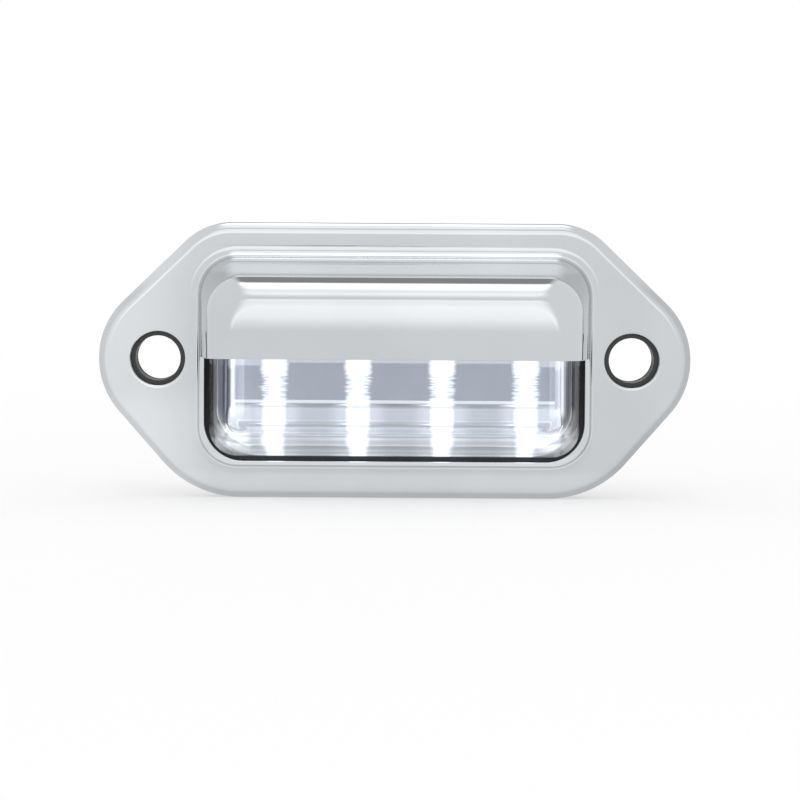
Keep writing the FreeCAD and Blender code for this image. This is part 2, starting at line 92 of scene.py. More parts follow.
NOSE = (29.2, -0.05, 10.8)
FLANGE_TOP = 18.4
FLANGE_LOW = -18.8
TOP_CORNER = 9.0
LOW_CORNER = 14.0
TOP_SLOPE = 44.0
LOW_SLOPE = 48.7
FLANGE_STEPS = 20
LOW_CORNER_STEPS = 24
CROWN_START = 4.1
CROWN_RADIUS = 46.0
CROWN_DEPTHS = (12.0, 21.0)


def place(x, depth, z):
    """A point from millimetres, its depth measured forwards from the panel."""
    return Vector((x * MM, -depth * MM, z * MM))


def arc_points(centre_x, centre_z, radius, start, end, steps):
    points = []
    for step in range(steps + 1):
        turn = math.radians(start + (end - start) * step / steps)
        points.append((centre_x + radius * math.cos(turn), centre_z + radius * math.sin(turn)))
    return points


def corner_centre_x(corner_z, corner_radius, normal_x, normal_z):
    """Where a flange corner sits so that it meets the slope that is tangent to the nose."""
    offset = normal_x * NOSE[0] + normal_z * NOSE[1] + NOSE[2]
    return (offset - corner_radius - normal_z * corner_z) / normal_x


def flange_ring(inset):
    """The flange's outline, from the middle of the right nose round by the top."""
    top, low = math.radians(TOP_SLOPE), math.radians(LOW_SLOPE)
    top_z, low_z = FLANGE_TOP - TOP_CORNER, FLANGE_LOW + LOW_CORNER
    top_x = corner_centre_x(top_z, TOP_CORNER, math.sin(top), math.cos(top))
    low_x = corner_centre_x(low_z, LOW_CORNER, math.sin(low), -math.cos(low))
    upper = arc_points(NOSE[0], NOSE[1], NOSE[2] - inset, 0, 90 - TOP_SLOPE, FLANGE_STEPS)
    upper += arc_points(top_x, top_z, TOP_CORNER - inset, 90 - TOP_SLOPE, 90, FLANGE_STEPS)
    lower = arc_points(low_x, low_z, LOW_CORNER - inset, -90, LOW_SLOPE - 90, LOW_CORNER_STEPS)
    lower += arc_points(NOSE[0], NOSE[1], NOSE[2] - inset, LOW_SLOPE - 90, 0, FLANGE_STEPS)[:-1]
    left_upper = [(-x, z) for x, z in reversed(upper)]
    left_lower = [(-x, z) for x, z in reversed(lower)]
    return upper + left_upper + left_lower + lower


SIDE_STEPS = 12
ARC_STEPS = 14
TOP_STEPS = 8


def wall_taken(draft, skin, depth):
    """How far a drafted wall of the dome stands in from its root line at a depth."""
    return skin / math.cos(draft) + (depth - FACE) * math.tan(draft)


def root_taken(draft, skin, share):
    """The same on the bend at the wall's root, at a share of the bend's turn, with its depth."""
    radius = ROOT_BEND + skin
    full = math.pi / 2 - draft
    collar = math.acos(min(1.0, (FACE + ROOT_BEND - COLLAR_TOP) / radius))
    turn = share * min(collar, full)
    reach = ROOT_BEND * math.tan(full / 2)
    return radius * math.sin(turn) - reach, FACE + ROOT_BEND - radius * math.cos(turn)


def front_taken(draft, skin, share, front=FRONT, bend=HOOD_BEND, inset=0.0):
    """The same on the bend between a wall and a front face, with its depth."""
    radius = bend - skin
    turn = draft + (math.pi / 2 - draft) * share
    middle = wall_taken(draft, inset, front) + bend * math.tan((math.pi / 2 - draft) / 2)
    return middle - radius * math.cos(turn), front - bend + radius * math.sin(turn)


def dome_corner(centre_x, centre_z, radius, end, side_depth, end_depth):
    """A corner from the side wall to its end angle, its depth passing smoothly between the walls' depths."""
    points = []
    for step, (x, z) in enumerate(arc_points(centre_x, centre_z, radius, 0, end, ARC_STEPS)):
        share = step / ARC_STEPS
        points.append((x, z, side_depth + (end_depth - side_depth) * share * share * (3 - 2 * share)))
    return points


def dome_ring(side, top, low, radius, low_radius, edge_z):
    """The dome's outline from the hood's right-hand edge over the top to its left-hand edge, then the rest.

    Each of side, top and low is how far that wall stands in from its root line, with its depth. The points
    are (x, z, depth).
    """
    half, high, floor = DOME_HALF - side[0], DOME_TOP - top[0], DOME_LOW + low[0]
    side_run = high - radius - edge_z
    right = [(half, edge_z + side_run * step / SIDE_STEPS, side[1]) for step in range(SIDE_STEPS)]
    half_top = right + dome_corner(half - radius, high - radius, radius, 90, side[1], top[1])
    run = half - radius
    middle = [(run - 2 * run * step / TOP_STEPS, high, top[1]) for step in range(1, TOP_STEPS)]
    upper = half_top + middle + [(-x, z, depth) for x, z, depth in reversed(half_top)]
    drop = floor + low_radius - edge_z
    low_side = [(half, edge_z + drop * step / SIDE_STEPS, side[1]) for step in range(1, SIDE_STEPS)]
    run = half - low_radius
    half_low = low_side + dome_corner(run, floor + low_radius, low_radius, -90, side[1], low[1])
    middle = [(-run + 2 * run * step / TOP_STEPS, floor, low[1]) for step in range(1, TOP_STEPS)]
    lower = [(-x, z, depth) for x, z, depth in half_low] + middle + list(reversed(half_low))
    return upper, lower


def crown(depth, z):
    """The hood's front face curves back a little towards its top."""
    rise = max(0.0, z - CROWN_START)
    start, full = CROWN_DEPTHS
    weight = min(1.0, max(0.0, (depth - start) / (full - start)))
    return weight * rise * rise / (2 * CROWN_RADIUS)


def add_ring(mesh, points, depth):
    return [mesh.verts.new(place(x, depth, z)) for x, z in points]


def join_rings(mesh, first, second, closed=True):
    count = len(first)
    for index in range(count if closed else count - 1):
        following = (index + 1) % count
        mesh.faces.new((first[index], first[following], second[following], second[index]))


def fill_flat(mesh, outer, holes):
    """Fills a flat region between an outer ring and the rings of its holes."""
    rings = [outer] + holes
    verts = [vert for ring in rings for vert in ring]
    outlines = [[Vector((vert.co.x, vert.co.z, 0)) / MM for vert in ring] for ring in rings]
    for triangle in tessellate_polygon(outlines):
        mesh.faces.new([verts[index] for index in triangle])


def rim_row(skin, turn):
    """The rolled rim's inset and depth at a turn from its outer edge, near which the outside is tighter."""
    lean, rise = math.cos(RIM_NIP_TURN), math.sin(RIM_NIP_TURN)
    if skin:
        tight = wide = RIM_BEND - skin
    else:
        tight, wide = RIM_NIP, (RIM_BEND - RIM_NIP * (1 - lean)) / lean
    if turn < RIM_NIP_TURN:
        inset = tight * (1 - math.cos(turn))
        drop = wide * (1 - rise) + tight * (rise - math.sin(turn))
    else:
        inset = tight * (1 - lean) + wide * (lean - math.cos(turn))
        drop = wide * (1 - math.sin(turn))
    return skin + inset, FACE - skin - drop


RIM_STEPS = 12
HOLE_SEGMENTS = 64
HOLE_STEPS = 6
ROOT_STEPS = 10
WALL_RINGS = 7
BEND_STEPS = 14
WALL_START = COLLAR_TOP + 0.4
CORNER_TIGHTENS = 0.25


def screw_hole(mesh, skin, side):
    """A screw hole with its edge rolled on the outside. Returns the flat ring round it and its free edge."""
    face = FACE - skin
    steps, roll = (HOLE_STEPS, HOLE_ROLL) if skin == 0 else (0, 0.0)
    rings = []
    for step in range(steps + 1):
        turn = math.pi / 2 * step / max(steps, 1)
        radius = COVER_HOLE + roll * (1 - math.sin(turn))
        circle = arc_points(side * SCREW_X, 0, radius, 0, 360, HOLE_SEGMENTS)[:-1]
        rings.append(add_ring(mesh, circle, face - roll * (1 - math.cos(turn))))
    for first, second in zip(rings, rings[1:]):
        join_rings(mesh, first, second)
    around = COVER_HOLE + HOLE_ROLL + FLAT_EDGE
    flat = add_ring(mesh, arc_points(side * SCREW_X, 0, around, 0, 360, HOLE_SEGMENTS)[:-1], face)
    join_rings(mesh, flat, rings[0])
    return flat, rings[-1]


def dome_root(mesh, skin):
    """The bend at the dome's root, after a narrow flat ring. Its inside thins the collar's lip a little."""
    rings = []
    for step in range(-1, ROOT_STEPS + 1):
        share = max(step, 0) / ROOT_STEPS
        walls = [root_taken(draft, skin, share) for draft in (SIDE_DRAFT, TOP_DRAFT, LOW_DRAFT)]
        if step < 0:
            walls = [(taken - FLAT_EDGE, depth) for taken, depth in walls]
        radius = DOME_CORNER - min(walls[0][0], skin)
        turned = skin / SHEET * share ** 2
        walls = [(taken - thinned * turned, depth) for (taken, depth), thinned in zip(walls, LIP_THINNED)]
        upper, lower = dome_ring(*walls, radius, radius + LIP_CORNER * turned, HOOD_EDGE_ROOT)
        rings.append([mesh.verts.new(place(x, depth, z)) for x, z, depth in upper + lower])
    for first, second in zip(rings, rings[1:]):
        join_rings(mesh, first, second)
    return rings


def hood_walls(skin):
    """How far the hood's side and top stand in at each ring, from the collar's top to the front face."""
    rows = []
    for step in range(WALL_RINGS):
        walls = []
        for draft in (SIDE_DRAFT, TOP_DRAFT):
            wall_end = FRONT - HOOD_BEND + (HOOD_BEND - skin) * math.sin(draft)
            depth = WALL_START + (wall_end - WALL_START) * step / WALL_RINGS
            walls.append((wall_taken(draft, skin, depth), depth))
        rows.append(walls)
    for step in range(BEND_STEPS + 1):
        rows.append([front_taken(draft, skin, step / BEND_STEPS) for draft in (SIDE_DRAFT, TOP_DRAFT)])
    return rows


def pressing_skin(mesh, skin):
    """One skin of the sheet, skin millimetres in from the outside. Returns its free edges."""
    face = FACE - skin
    rows = [(skin, RIM_REAR)]
    rows += [rim_row(skin, math.pi / 2 * step / RIM_STEPS) for step in range(RIM_STEPS + 1)]
    rows.append((rows[-1][0] + FLAT_EDGE, face))
    rings = [add_ring(mesh, flange_ring(inset), depth) for inset, depth in rows]
    for first, second in zip(rings, rings[1:]):
        join_rings(mesh, first, second)
    holes = [screw_hole(mesh, skin, side) for side in (-1, 1)]
    root_rings = dome_root(mesh, skin)
    fill_flat(mesh, rings[-1], [flat for flat, _ in holes] + [root_rings[0]])

    rake = (HOOD_EDGE_FRONT - HOOD_EDGE_ROOT) / (FRONT - COLLAR_TOP)
    upper_count = 2 * (SIDE_STEPS + ARC_STEPS + 1) + TOP_STEPS - 1
    hood_rings = [root_rings[-1][:upper_count]]
    for side, top in hood_walls(skin):
        radius = DOME_CORNER - skin - CORNER_TIGHTENS * (side[0] - skin)
        edge_z = HOOD_EDGE_ROOT + rake * (side[1] - COLLAR_TOP)
        upper, _ = dome_ring(side, top, side, radius, radius, edge_z)
        hood_rings.append([mesh.verts.new(place(x, depth - crown(depth, z), z)) for x, z, depth in upper])
    for first, second in zip(hood_rings, hood_rings[1:]):
        join_rings(mesh, first, second, closed=False)

    front = hood_rings[-1]
    last = SIDE_STEPS + ARC_STEPS
    for index in range(last - 1):
        mesh.faces.new((front[index], front[index + 1], front[-2 - index], front[-1 - index]))
    mesh.faces.new(front[last - 1:upper_count - last + 1])

    collar = root_rings[-1][upper_count - 1:] + root_rings[-1][:1]
    hood_edge = [ring[0] for ring in hood_rings] + [ring[-1] for ring in reversed(hood_rings)]
    hole_edges = [(edge, True) for _, edge in holes]
    return [(rings[0], True), *hole_edges, (collar, False), (hood_edge, False)]


def finish_mesh(mesh, name, sharp_degrees=35.0, edge_round=0.0):
    """Turns a bmesh into an object with smooth faces, sharp where they meet at more than an angle."""
    bmesh.ops.recalc_face_normals(mesh, faces=mesh.faces)
    for item in mesh.faces:
        item.smooth = True
    for edge in mesh.edges:
        edge.smooth = edge.calc_face_angle(0.0) < math.radians(sharp_degrees)
    data = bpy.data.meshes.new(name)
    mesh.to_mesh(data)
    mesh.free()
    made = bpy.data.objects.new(name, data)
    bpy.context.scene.collection.objects.link(made)
    if edge_round:
        rounded = made.modifiers.new("rounded_edges", "BEVEL")
        rounded.width = edge_round * MM
        rounded.segments = 2
        rounded.limit_method = "ANGLE"
        rounded.angle_limit = math.radians(60.0)
    weighted = made.modifiers.new("flat_faces_stay_flat", "WEIGHTED_NORMAL")
    weighted.keep_sharp = True
    weighted.weight = 80
    return made


def principled(name, **values):
    """A material whose even values sit on the shader's own sockets."""
    finish = bpy.data.materials.new(name)
    finish.use_nodes = True
    shader = finish.node_tree.nodes["Principled BSDF"]
    for key, value in values.items():
        shader.inputs[key.replace("_", " ")].default_value = value
    return finish, finish.node_tree, shader


def noise(tree, scale, detail=3.0, stretch=(1, 1, 1)):
    """Fine unevenness in the part's own coordinates, with scale in features to the metre."""
    coordinates = tree.nodes.new("ShaderNodeTexCoord")
    mapping = tree.nodes.new("ShaderNodeMapping")
    mapping.inputs["Scale"].default_value = stretch
    texture = tree.nodes.new("ShaderNodeTexNoise")
    texture.inputs["Scale"].default_value = scale
    texture.inputs["Detail"].default_value = detail
    tree.links.new(coordinates.outputs["Object"], mapping.inputs["Vector"])
    tree.links.new(mapping.outputs["Vector"], texture.inputs["Vector"])
    return texture.outputs["Fac"]


def between(tree, factor, low, high):
    """Runs from low to high as a factor goes from 0 to 1; low and high are colours or numbers."""
    if isinstance(low, tuple):
        mix = tree.nodes.new("ShaderNodeMix")
        mix.data_type = "RGBA"
        mix.inputs[6].default_value = (*low, 1.0)
        mix.inputs[7].default_value = (*high, 1.0)
        tree.links.new(factor, mix.inputs[0])
        return mix.outputs[2]
    span = tree.nodes.new("ShaderNodeMapRange")
    span.inputs["To Min"].default_value = low
    span.inputs["To Max"].default_value = high
    tree.links.new(factor, span.inputs["Value"])
    return span.outputs["Result"]


def calculate(tree, operation, *terms):
    """The output of one math step; a term is a number or another output."""
    step = tree.nodes.new("ShaderNodeMath")
    step.operation = operation
    for index, term in enumerate(terms):
        if isinstance(term, (int, float)):
            step.inputs[index].default_value = term
        else:
            tree.links.new(term, step.inputs[index])
    return step.outputs[0]


def total(tree, first, *others):
    """The sum of the terms, each a number or an output."""
    for term in others:
        first = calculate(tree, "ADD", first, term)
    return first


def product(tree, first, *others):
    """The terms multiplied together, each a number or an output."""
    for term in others:
        first = calculate(tree, "MULTIPLY", first, term)
    return first


def ramp(tree, value, start, end, low, high):
    """Runs smoothly from low to high while value goes from start to end."""
    step = tree.nodes.new("ShaderNodeMapRange")
    step.interpolation_type = "SMOOTHSTEP"
    for name, number in (("From Min", start), ("From Max", end), ("To Min", low), ("To Max", high)):
        step.inputs[name].default_value = number
    tree.links.new(value, step.inputs["Value"])
    return step.outputs["Result"]


def zone(tree, *edges):
    """1 past every edge and 0 before any of them; an edge is (output, where it starts, where it is past)."""
    return product(tree, *[ramp(tree, value, start, past, 0.0, 1.0) for value, start, past in edges])


def millimetres(tree):
    """The surface's own coordinates in millimetres, as x, depth from the panel and z."""
    coordinates = tree.nodes.new("ShaderNodeTexCoord")
    parts = tree.nodes.new("ShaderNodeSeparateXYZ")
    tree.links.new(coordinates.outputs["Object"], parts.inputs["Vector"])
    units = (("X", MM), ("Y", -MM), ("Z", MM))
    return [calculate(tree, "DIVIDE", parts.outputs[axis], unit) for axis, unit in units]


def blend(tree, factor, under, colour):
    """Lays a colour, which may be even, over another one by a factor."""
    mix = tree.nodes.new("ShaderNodeMix")
    mix.data_type = "RGBA"
    tree.links.new(factor, mix.inputs[0])
    tree.links.new(under, mix.inputs[6])
    if isinstance(colour, tuple):
        mix.inputs[7].default_value = (*colour, 1.0)
    else:
        tree.links.new(colour, mix.inputs[7])
    return mix.outputs[2]


# The photo's surroundings aren't known, so part of what the chrome mirrored there is in its tone, by place.
CHROME_DARK = (0.44, 0.455, 0.47)
CHROME_LIGHT = (0.80, 0.82, 0.835)
chrome, tree, shader = principled("chromed_sheet", Metallic=1.0)
x, depth, z = millimetres(tree)
left_ear = ramp(tree, x, -25.0, -35.0, 0.0, 0.30)
left_low = product(tree, 0.15, zone(tree, (x, -23.0, -28.0), (z, -3.0, -8.0)))
right_ear = ramp(tree, x, 32.0, 37.0, -0.03, 0.05)
top_wall = product(tree, 0.31, zone(tree, (z, 11.6, 12.1), (z, 13.8, 13.5), (depth, 7.0, 7.6)))
root = product(tree, zone(tree, (depth, 6.5, 6.7), (depth, 7.6, 7.1)),
               ramp(tree, calculate(tree, "ABSOLUTE", z), 12.0, 13.5, 0.15, 0.42))
rim = product(tree, -0.38, zone(tree, (depth, 6.295, 6.1), (z, 12.0, 8.0)))
low_margin = ramp(tree, z, -14.5, -16.0, 0.0, 0.12)
clouds = ramp(tree, noise(tree, 60.0), 0.3, 0.7, 0.40, 0.49)
brighter = calculate(tree, "MAXIMUM", top_wall, root)
lightness = total(tree, clouds, left_ear, left_low, right_ear, brighter, rim, low_margin)
tree.links.new(between(tree, lightness, CHROME_DARK, CHROME_LIGHT), shader.inputs["Base Color"])
tree.links.new(between(tree, noise(tree, 900.0), 0.04, 0.08), shader.inputs["Roughness"])

mesh = bmesh.new()
outside = pressing_skin(mesh, 0.0)
inside = pressing_skin(mesh, SHEET)
for (near, closed), (far, _) in zip(outside, inside):
    join_rings(mesh, near, far, closed)
cover = finish_mesh(mesh, "cover_pressing", edge_round=EDGE_ROUND)
cover.data.materials.append(chrome)
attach(cover, "root")
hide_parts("cover")


# The lens is moulded in clear acrylic, as a box with drafted walls and a rounded front edge.
# Its flange lies on the base and is clamped by the cover. The light of the LEDs leaves by its front and its
# bottom wall, and the glow it leaves on the lens is painted light.
LENS_INSET = 1.6
LENS_WALL = 1.2
LENS_BEND = 2.0
LENS_FRONT = FRONT - LENS_INSET
LENS_SEAT = 4.1
LENS_FACE = 5.1
LENS_FLANGE_REACH = 1.3
LENS_FLANGE_CORNER = 6.0
LENS_CORNER = DOME_CORNER - LENS_INSET
LENS_OUTER_CORNER = 5.0
LENS_WALL_RINGS = 5
LENS_BEND_STEPS = 8
LENS_CORNER_TIGHTENS = 0.8
DRAFTS = (SIDE_DRAFT, TOP_DRAFT, LOW_DRAFT)


def lens_ring(mesh, walls, radius):
    upper, lower = dome_ring(*walls, radius, radius, HOOD_EDGE_ROOT)
    return [mesh.verts.new(place(x, depth, z)) for x, z, depth in upper + lower]


def lens_skin(mesh, skin, start):
    """One skin of the lens, skin millimetres in from its outside, from a depth by its flange to its front."""
    inset = LENS_INSET + skin
    corner = LENS_CORNER - skin if skin else LENS_OUTER_CORNER
    rings = []
    for step in range(LENS_WALL_RINGS):
        walls = []
        for draft in DRAFTS:
            end = front_taken(draft, skin, 0.0, LENS_FRONT, LENS_BEND, LENS_INSET)[1]
            depth = start + (end - start) * step / LENS_WALL_RINGS
            walls.append((wall_taken(draft, inset, depth), depth))
        rings.append(lens_ring(mesh, walls, corner))
    for step in range(LENS_BEND_STEPS + 1):
        share = step / LENS_BEND_STEPS
        walls = [front_taken(draft, skin, share, LENS_FRONT, LENS_BEND, LENS_INSET) for draft in DRAFTS]
        taken = (LENS_BEND - skin) * (1 - math.cos(math.pi / 2 * share))
        rings.append(lens_ring(mesh, walls, corner - LENS_CORNER_TIGHTENS * taken))
    for first, second in zip(rings, rings[1:]):
        join_rings(mesh, first, second)
    fill_flat(mesh, rings[-1], [])
    return rings[0]


LED_PITCH = 11.26
COLUMN_SHIFT = 0.75
COLUMN_HALF = 1.6
HALO_WIDENING = 1.6
HALO_SOFTNESS = 1.2
TRAY_SHIFT = 0.65
LENS_CORNER_MIDDLE = (18.2, -7.3)


def beside_middle(tree, x):
    """The distance from the middle of the tray, whose right-hand end sits a little further out."""
    right = calculate(tree, "SUBTRACT", x, TRAY_SHIFT)
    return calculate(tree, "MAXIMUM", calculate(tree, "MULTIPLY", x, -1.0), right)


def diagonal(tree, across, along):
    return calculate(tree, "SQRT", total(tree, product(tree, across, across), product(tree, along, along)))


def corner_reach(tree, from_middle, z):
    """How far a place is out and down from the middle of the lens's lower corner."""
    middle_x, middle_z = LENS_CORNER_MIDDLE
    aside = calculate(tree, "MAXIMUM", calculate(tree, "SUBTRACT", from_middle, middle_x), 0.0)
    under = calculate(tree, "MAXIMUM", calculate(tree, "SUBTRACT", middle_z, z), 0.0)
    return diagonal(tree, aside, under)


def led_columns(tree, x, widening, raggedness, broken=None, softness=0.3):
    """The bright columns below the LEDs, 1 inside and 0 outside, wider by an output in millimetres.

    Where broken is 1, dark streaks run into their edges.
    """
    streaks = noise(tree, 5200.0, 2.0, (0.05, 1, 1))
    ragged = product(tree, calculate(tree, "SUBTRACT", streaks, 0.5), raggedness)
    turn = calculate(tree, "DIVIDE", calculate(tree, "SUBTRACT", x, COLUMN_SHIFT), LED_PITCH)
    middle = calculate(tree, "SUBTRACT", calculate(tree, "FRACT", turn), 0.5)
    away = product(tree, calculate(tree, "ABSOLUTE", middle), LED_PITCH)
    spread = total(tree, calculate(tree, "SUBTRACT", away, widening), ragged)
    solid = ramp(tree, spread, COLUMN_HALF - softness, COLUMN_HALF + softness, 1.0, 0.0)
    if broken is None:
        return solid
    fine = noise(tree, 8500.0, 3.0, (0.035, 1, 1))
    gaps = product(tree, 0.6, zone(tree, (fine, 0.44, 0.60), (away, 0.35, 1.1)), broken)
    return product(tree, solid, calculate(tree, "SUBTRACT", 1.0, gaps))


# Its light and its tint are painted by place, in millimetres on the lens, as the photo shows them.
clear, tree, shader = principled("clear_acrylic", Transmission_Weight=1.0, IOR=1.49)
x, depth, z = millimetres(tree)
from_middle = calculate(tree, "ABSOLUTE", x)
beside = beside_middle(tree, x)
reach = corner_reach(tree, from_middle, z)
column = led_columns(tree, x, ramp(tree, z, -8.0, -11.0, 0.0, -0.4), 0.4, softness=0.7)
corner = product(tree, zone(tree, (from_middle, 18.6, 19.6)), ramp(tree, from_middle, 21.8, 22.6, 1.0, 0.15))

column_end = product(tree, column, 0.12, ramp(tree, z, -11.9, -11.3, 0.3, 1.0))
halo = product(tree, led_columns(tree, x, HALO_WIDENING, 0.0, softness=HALO_SOFTNESS),
               ramp(tree, z, -11.5, -11.1, 0.0, 0.018))
corner_end = product(tree, corner, ramp(tree, z, -11.6, -11.0, 0.0, 0.02))
bottom = product(tree, total(tree, column_end, halo, corner_end, 0.055), zone(tree, (z, -9.2, -10.0)),
                 ramp(tree, z, -12.9, -11.9, 0.5, 1.0), ramp(tree, z, -10.4, -11.2, 0.8, 3.1))
corner_patch = product(tree, corner, 0.13, zone(tree, (z, -8.9, -9.3), (z, -10.7, -10.2)))
corner_bend = product(tree, 0.10, zone(tree, (reach, 3.6, 4.0), (reach, 5.75, 5.4), (z, -8.1, -8.7)),
                      zone(tree, (from_middle, 18.5, 19.5)), ramp(tree, z, -11.8, -11.0, 0.15, 1.0))
side_wall = product(tree, zone(tree, (beside, 21.9, 22.2)), ramp(tree, z, -5.5, -9.5, 0.015, 0.11))
side_strip = product(tree, 0.09, zone(tree, (beside, 23.3, 23.6)), ramp(tree, z, -6.0, -9.0, 1.0, 0.3))
side = product(tree, total(tree, side_wall, side_strip), zone(tree, (beside, 24.4, 24.1)))
edge_line = product(tree, 0.26, zone(tree, (beside, 19.7, 19.9), (beside, 21.8, 21.5), (z, -7.5, -6.0)),
                    ramp(tree, beside, 20.9, 21.1, 0.28, 1.0))
lit = total(tree, bottom, corner_patch, corner_bend, side, edge_line)
shader.inputs["Emission Color"].default_value = (0.92, 0.95, 1.0, 1.0)
tree.links.new(lit, shader.inputs["Emission Strength"])

# Over the acrylic's own faint tint, the dark zones laid in are painted shade: a dark blue edge and a
# near-black line down the sides, a greyer band and a line low down between the columns, and near-black close
# to the cover.
above_corner = (z, -8.4, -7.8)
blue_edge = zone(tree, (beside, 21.85, 22.05), (beside, 23.5, 23.2), (depth, 14.5, 16.5), above_corner)
side_line = zone(tree, (beside, 22.15, 22.25), (beside, 22.75, 22.65), above_corner)
between_columns = calculate(tree, "SUBTRACT", 1.0, column)
low_view = product(tree, between_columns, zone(tree, (z, -9.42, -9.5), (z, -11.0, -10.85)))
low_tone = between(tree, zone(tree, (z, -9.8, -10.5)), (0.74, 0.78, 0.84), (0.40, 0.44, 0.50))
low_line = product(tree, between_columns, zone(tree, (z, -9.46, -9.52), (z, -9.84, -9.76)))
near_cover = product(tree, zone(tree, (reach, 5.75, 5.95)), ramp(tree, depth, 13.0, 9.0, 0.3, 1.0))
tint_and_painted_shade = between(tree, noise(tree, 30.0), (0.93, 0.95, 0.97), (0.96, 0.975, 0.99))
tint_and_painted_shade = blend(tree, blue_edge, tint_and_painted_shade, (0.18, 0.23, 0.31))
tint_and_painted_shade = blend(tree, side_line, tint_and_painted_shade, (0.04, 0.05, 0.07))
tint_and_painted_shade = blend(tree, low_view, tint_and_painted_shade, low_tone)
tint_and_painted_shade = blend(tree, low_line, tint_and_painted_shade, (0.50, 0.54, 0.60))
tint_and_painted_shade = blend(tree, near_cover, tint_and_painted_shade, (0.15, 0.145, 0.14))
tree.links.new(tint_and_painted_shade, shader.inputs["Base Color"])
tree.links.new(between(tree, noise(tree, 400.0), 0.0, 0.03), shader.inputs["Roughness"])

mesh = bmesh.new()
outer = lens_skin(mesh, 0.0, LENS_FACE)
inner = lens_skin(mesh, LENS_WALL, LENS_SEAT)
flange_front = lens_ring(mesh, [(-LENS_FLANGE_REACH, LENS_FACE)] * 3, LENS_FLANGE_CORNER)
flange_back = lens_ring(mesh, [(-LENS_FLANGE_REACH, LENS_SEAT)] * 3, LENS_FLANGE_CORNER)
join_rings(mesh, outer, flange_front)
join_rings(mesh, flange_front, flange_back)
join_rings(mesh, flange_back, inner)
lens = finish_mesh(mesh, "clear_lens_box")
lens.data.materials.append(clear)
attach(lens, "root")
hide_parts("lens")


# The seal is a flat black rubber ring between the lens flange and the cover, seen at the bottom of the gap
# round the lens. The lead grommet in the base is the same rubber.
def finish_node(name, finish):
    """Gives a piece that keeps its CAD form its finish."""
    node = frame["nodes"][name]
    for socket in node.material_slots:
        socket.material = finish


rubber, tree, shader = principled("black_rubber", Specular_IOR_Level=0.35)
tone = between(tree, noise(tree, 1500.0), (0.030, 0.030, 0.031), (0.050, 0.050, 0.051))
tree.links.new(tone, shader.inputs["Base Color"])
tree.links.new(between(tree, noise(tree, 700.0), 0.45, 0.65), shader.inputs["Roughness"])
finish_node("lens_seal", rubber)
finish_node("lead_grommet", rubber)


# The base is an injection moulding in black plastic with a fine grain, which fills the cover's rim.
# The screws pass through it, so it shows as the dark wall inside both holes.
def add_grain(tree, shader, height, distance):
    bump = tree.nodes.new("ShaderNodeBump")
    bump.inputs["Strength"].default_value = 0.5
    bump.inputs["Distance"].default_value = distance
    tree.links.new(height, bump.inputs["Height"])
    tree.links.new(bump.outputs["Normal"], shader.inputs["Normal"])


moulding, tree, shader = principled("black_moulding")
tone = between(tree, noise(tree, 300.0), (0.022, 0.024, 0.024), (0.036, 0.040, 0.038))
tree.links.new(tone, shader.inputs["Base Color"])
tree.links.new(between(tree, noise(tree, 1200.0), 0.40, 0.55), shader.inputs["Roughness"])
add_grain(tree, shader, noise(tree, 3000.0), 0.00004)
finish_node("base", moulding)


# The rear gasket is cut from closed-cell sponge rubber sheet, and its cells show as small pits, painted
# darker towards their middles as shade.
sponge, tree, shader = principled("sponge_rubber", Roughness=0.95, Specular_IOR_Level=0.2)
cells = tree.nodes.new("ShaderNodeTexVoronoi")
cells.inputs["Scale"].default_value = 1600.0
cell_place = tree.nodes.new("ShaderNodeTexCoord")
tree.links.new(cell_place.outputs["Object"], cells.inputs["Vector"])
tone = between(tree, cells.outputs["Distance"], (0.018, 0.018, 0.019), (0.060, 0.060, 0.062))
tree.links.new(tone, shader.inputs["Base Color"])
add_grain(tree, shader, cells.outputs["Distance"], 0.0001)
finish_node("rear_gasket", sponge)


# The reflector is a plastic tray, metallised in vacuum to a soft mirror. The LEDs shine down it from their
# board; the ragged bright column that each one leaves on the panel, and the light on the steps below, are
# painted light.
metallised, tree, shader = principled("metallised_tray", Metallic=1.0)
x, _, z = millimetres(tree)
from_middle = calculate(tree, "ABSOLUTE", x)
beside = beside_middle(tree, x)
tone = between(tree, noise(tree, 200.0, 4.0), (0.385, 0.41, 0.475), (0.435, 0.46, 0.525))
tree.links.new(tone, shader.inputs["Base Color"])
tree.links.new(between(tree, noise(tree, 500.0, 4.0, (3, 1, 1)), 0.16, 0.26), shader.inputs["Roughness"])
near_led = ramp(tree, z, -2.2, -1.2, -0.05, 0.12)
near_steps = ramp(tree, z, -5.3, -5.6, 0.0, 0.15)
low_end = ramp(tree, z, -9.0, -9.9, 0.0, -0.4)
broken = zone(tree, (z, -1.7, -2.4), (z, -5.4, -4.9))
columns = led_columns(tree, x, total(tree, near_led, near_steps, low_end), total(tree, broken, 0.6), broken,
                      softness=0.4)
halo = led_columns(tree, x, HALO_WIDENING, 0.0, softness=HALO_SOFTNESS)
ends = total(tree, zone(tree, (from_middle, 18.5, 19.5)), ramp(tree, beside, 19.8, 21.0, 0.0, 0.7))
